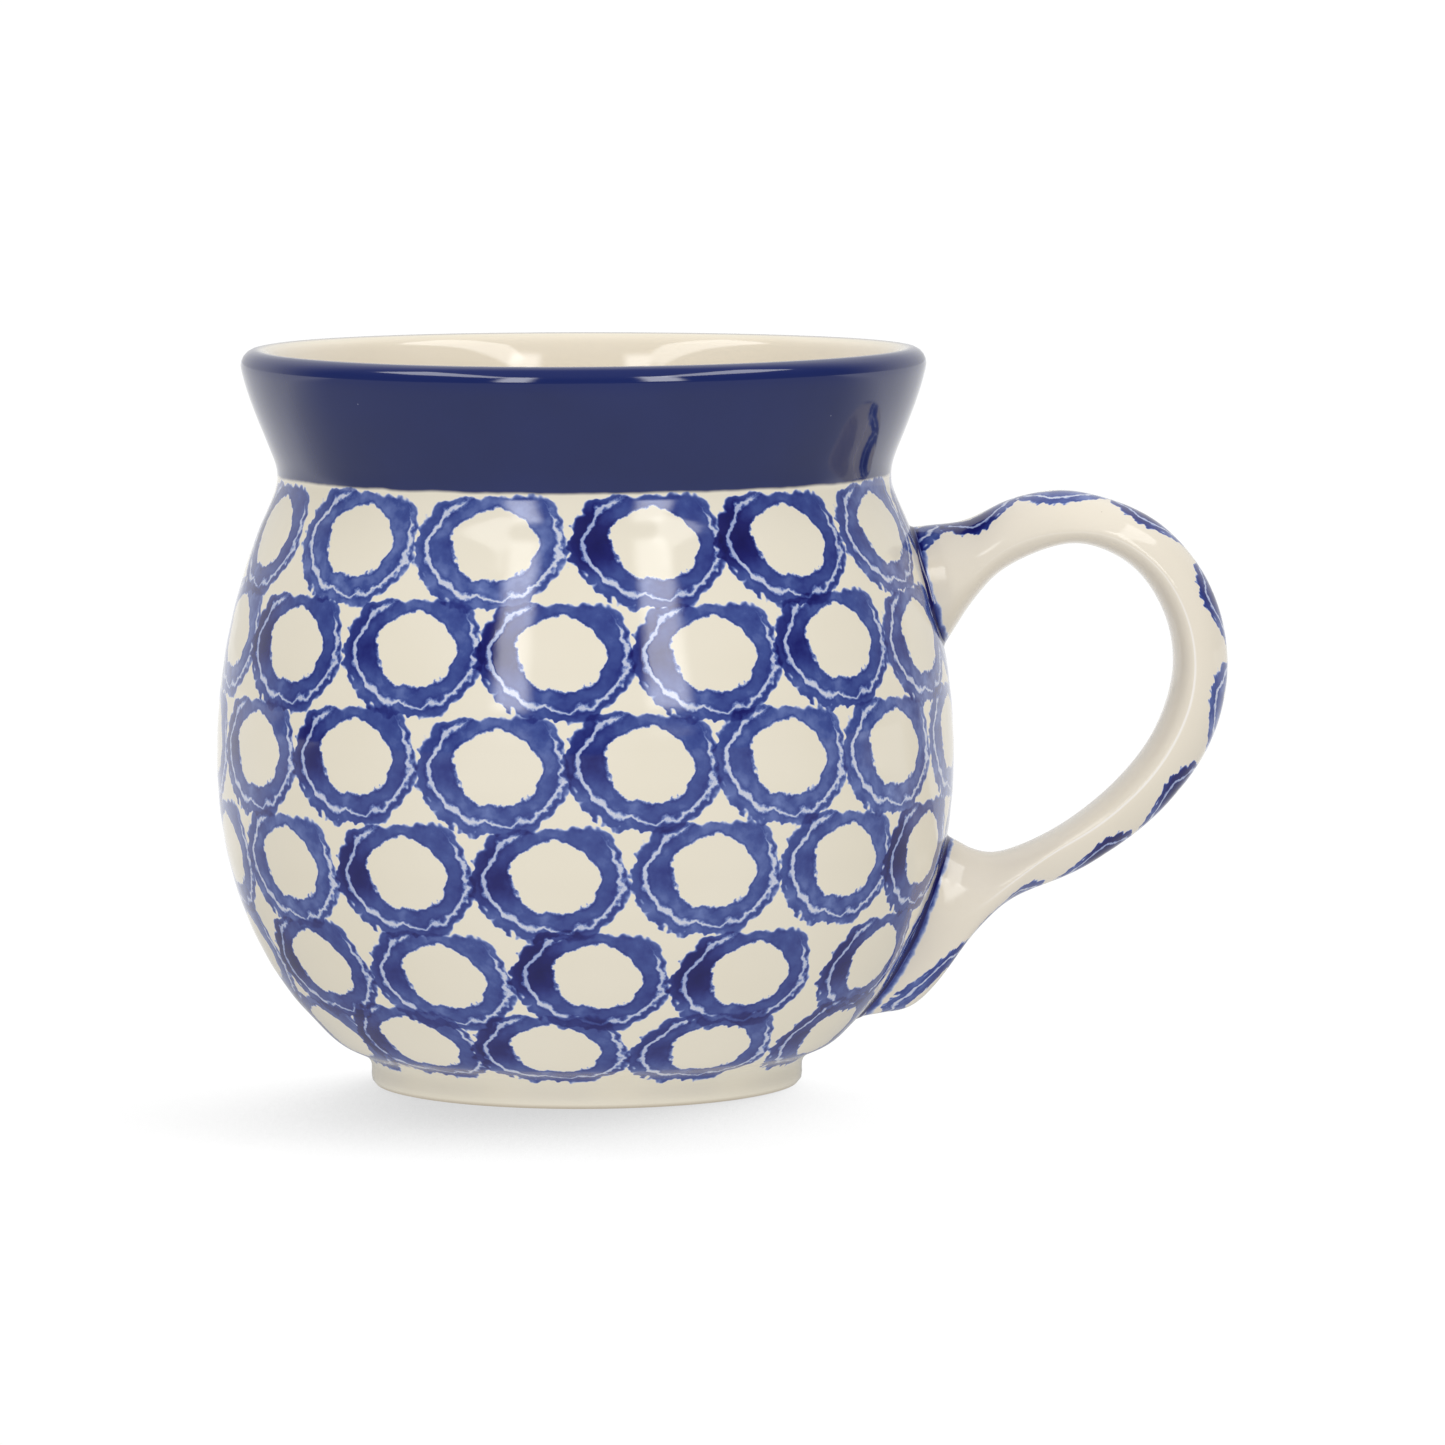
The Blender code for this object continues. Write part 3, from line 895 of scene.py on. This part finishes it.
# ---- Stage --------------------------------------------------------------------------------------
FLOOR_SIZE = 30                 # m
CAMERA_DISTANCE = 1.094
CAMERA_HEIGHT = 0.1477
CAMERA_PITCH = 5.409            # degrees down
CAMERA_YAW = 0.878              # degrees to the right
CAMERA_ROLL = -0.168
CAMERA_LENS = 223.8
SHADOW_REACH = 50 * MM
SHADOW_LEAN = (1.5, 4.0, 0.3)   # towards the light behind and to the right of the mug
SHADOW_OPEN = (0.43, 0.75)      # share of open sky where the shadow is full, and where it ends
SHADOW_WHITE = 0.61
WHITE = 1.02
SKY_GREY = 0.8                  # colour of the sky, by which all its brightnesses below are multiplied

# Brightness of the room as it lights the mug: in front, at the sides, behind, and added overhead
LIT_FRONT, LIT_SIDE, LIT_BACK, LIT_TOP = 1.44, 0.29, 0.4, 1.6
FLOOR_LIT = 0.93
# The same as the glaze mirrors it
SEEN_FRONT, SEEN_SIDE, SEEN_BACK, SEEN_TOP = 0.15, 0.17, 1.0, 0.2
FLOOR_SEEN, FLOOR_SEEN_BACK = 0.45, 1.0
# Strip lights in the mirror: degrees right of the camera, degrees up, brightness
STRIPS = (
    ((-28.8, -17.8), (8.0, 42.5), 7.6),
    ((20.3, 33.2), (8.0, 42.5), 7.6),
)
STRIP_EDGE = 2.4                # degrees of soft edge
BAR_EDGE = 1.0
# Overhead bars in the mirror: degrees up at the sides, reach forward, brightness
BARS = ((44.5, 61.5), (-0.05, 0.68), 5.4)
TAPER_START, BAR_TAPER = 0.25, 20.0     # reach where their lower edge starts to rise, degrees to a unit


def by_ray(graph, to_camera, to_mirror, otherwise):
    """One value for what the camera sees, one for mirrored light and one for all other light."""
    path = graph.node("ShaderNodeLightPath")
    result = choose(graph, path.outputs["Is Glossy Ray"], to_mirror, otherwise)
    return choose(graph, path.outputs["Is Camera Ray"], to_camera, result)


def choose(graph, share, on, off):
    return graph.math("ADD", graph.math("MULTIPLY", share, on),
                      graph.math("MULTIPLY", graph.math("SUBTRACT", 1.0, share), off))


def make_floor():
    """Pale floor that glows rather than being lit: plain white to the camera but for a painted soft shadow
    of the mug, worked out from ambient occlusion.
    """
    bpy.ops.mesh.primitive_plane_add(size=FLOOR_SIZE)
    floor = bpy.context.object
    floor.name = "floor"
    material, graph = new_material("pale_floor")
    material.cycles.emission_sampling = "NONE"
    lean = graph.node("ShaderNodeCombineXYZ")
    for socket, value in zip(lean.inputs, Vector(SHADOW_LEAN).normalized()):
        graph.feed(socket, value)
    # painted shadow: how open each floor point is towards the leaned direction darkens the floor's glow
    open_sky = graph.node("ShaderNodeAmbientOcclusion", samples=12)
    open_sky.inputs["Distance"].default_value = SHADOW_REACH
    graph.feed(open_sky.inputs["Normal"], lean.outputs[0])
    bare = graph.ramp_up(open_sky.outputs["AO"], *SHADOW_OPEN)
    seen = graph.math("MULTIPLY_ADD", bare, WHITE - SHADOW_WHITE, SHADOW_WHITE)
    split = graph.node("ShaderNodeSeparateXYZ")
    graph.feed(split.inputs[0], graph.node("ShaderNodeTexCoord").outputs["Object"])
    behind = graph.ramp_up(split.outputs["Y"], 0.0, 0.16)
    mirrored = graph.math("MULTIPLY_ADD", behind, FLOOR_SEEN_BACK - FLOOR_SEEN, FLOOR_SEEN)
    glow = graph.node("ShaderNodeEmission")
    graph.feed(glow.inputs["Strength"], by_ray(graph, seen, mirrored, FLOOR_LIT))
    output = graph.node("ShaderNodeOutputMaterial")
    graph.feed(output.inputs["Surface"], glow.outputs[0])
    floor.data.materials.append(material)


def room(graph, direction, front, side, back, top):
    """Brightness of a plain room by direction."""
    _, depth, height = direction
    ahead = graph.ramp_up(depth, -0.2, -0.9)
    behind = graph.ramp_up(depth, 0.1, 0.75)
    overhead = graph.ramp_up(height, 0.35, 0.9)
    return graph.total([side,
                        graph.math("MULTIPLY", ahead, front - side),
                        graph.math("MULTIPLY", behind, back - side),
                        graph.math("MULTIPLY", overhead, top)])


def make_world():
    """A white room behind the mug, dimmer behind the camera, with strip lights that only glaze mirrors."""
    world = bpy.data.worlds.new("studio")
    bpy.context.scene.world = world
    world.use_nodes = True
    world.node_tree.nodes.clear()
    graph = Graph(world.node_tree)
    split = graph.node("ShaderNodeSeparateXYZ")
    graph.feed(split.inputs[0], graph.node("ShaderNodeTexCoord").outputs["Generated"])
    across, depth, height = split.outputs
    lit = room(graph, split.outputs, LIT_FRONT, LIT_SIDE, LIT_BACK, LIT_TOP)
    mirrored = room(graph, split.outputs, SEEN_FRONT, SEEN_SIDE, SEEN_BACK, SEEN_TOP)
    forward = graph.math("MULTIPLY", depth, -1.0)
    azimuth = graph.degrees(graph.math("ARCTAN2", across, forward))
    elevation = graph.degrees(graph.math("ARCSINE", height))
    for (left, right), (low, high), brightness in STRIPS:
        strip = graph.math("MULTIPLY", graph.band(azimuth, left, right, STRIP_EDGE),
                           graph.band(elevation, low, high, STRIP_EDGE))
        mirrored = graph.math("MULTIPLY_ADD", strip, brightness, mirrored)
    (low, high), (back, front), brightness = BARS
    side_angle = graph.degrees(graph.math("ARCTAN2", height, graph.math("ABSOLUTE", across)))
    past_start = graph.math("MAXIMUM", graph.math("SUBTRACT", forward, TAPER_START), 0.0)
    tapered = graph.math("MULTIPLY_ADD", past_start, -BAR_TAPER, side_angle)
    bar = graph.math("MULTIPLY", graph.ramp_up(tapered, low - BAR_EDGE, low + BAR_EDGE),
                     graph.ramp_up(side_angle, high + BAR_EDGE, high - BAR_EDGE))
    bar = graph.math("MULTIPLY", bar, graph.band(forward, back, front, 0.03))
    mirrored = graph.math("MULTIPLY_ADD", bar, brightness, mirrored)
    background = graph.node("ShaderNodeBackground")
    background.inputs["Color"].default_value = (SKY_GREY, SKY_GREY, SKY_GREY, 1.0)
    graph.feed(background.inputs["Strength"], by_ray(graph, WHITE / SKY_GREY, mirrored, lit))
    output = graph.node("ShaderNodeOutputWorld")
    graph.feed(output.inputs["Surface"], background.outputs[0])


def make_camera():
    camera = bpy.data.objects.new("camera", bpy.data.cameras.new("camera"))
    camera.data.lens = CAMERA_LENS
    camera.data.clip_start = 0.05
    camera.data.clip_end = 50
    turn = Matrix.Rotation(math.radians(-CAMERA_YAW), 4, "Z")
    turn @= Matrix.Rotation(math.radians(90 - CAMERA_PITCH), 4, "X")
    turn @= Matrix.Rotation(math.radians(CAMERA_ROLL), 4, "Z")
    camera.matrix_world = Matrix.Translation((0, -CAMERA_DISTANCE, CAMERA_HEIGHT)) @ turn
    bpy.context.scene.collection.objects.link(camera)
    bpy.context.scene.camera = camera


make_body()
HANDLE = handle_rings()
make_handle(HANDLE)
BEAD_MATERIAL = bead_material()
half = len(HANDLE) // 2
make_bead("upper_slip_bead", "upper_slip_joint", HANDLE[:half], BEAD_MATERIAL)
make_bead("lower_slip_bead", "lower_slip_joint", HANDLE[half:][::-1], BEAD_MATERIAL)
make_floor()
make_world()
make_camera()
bpy.context.scene.view_settings.view_transform = "Standard"
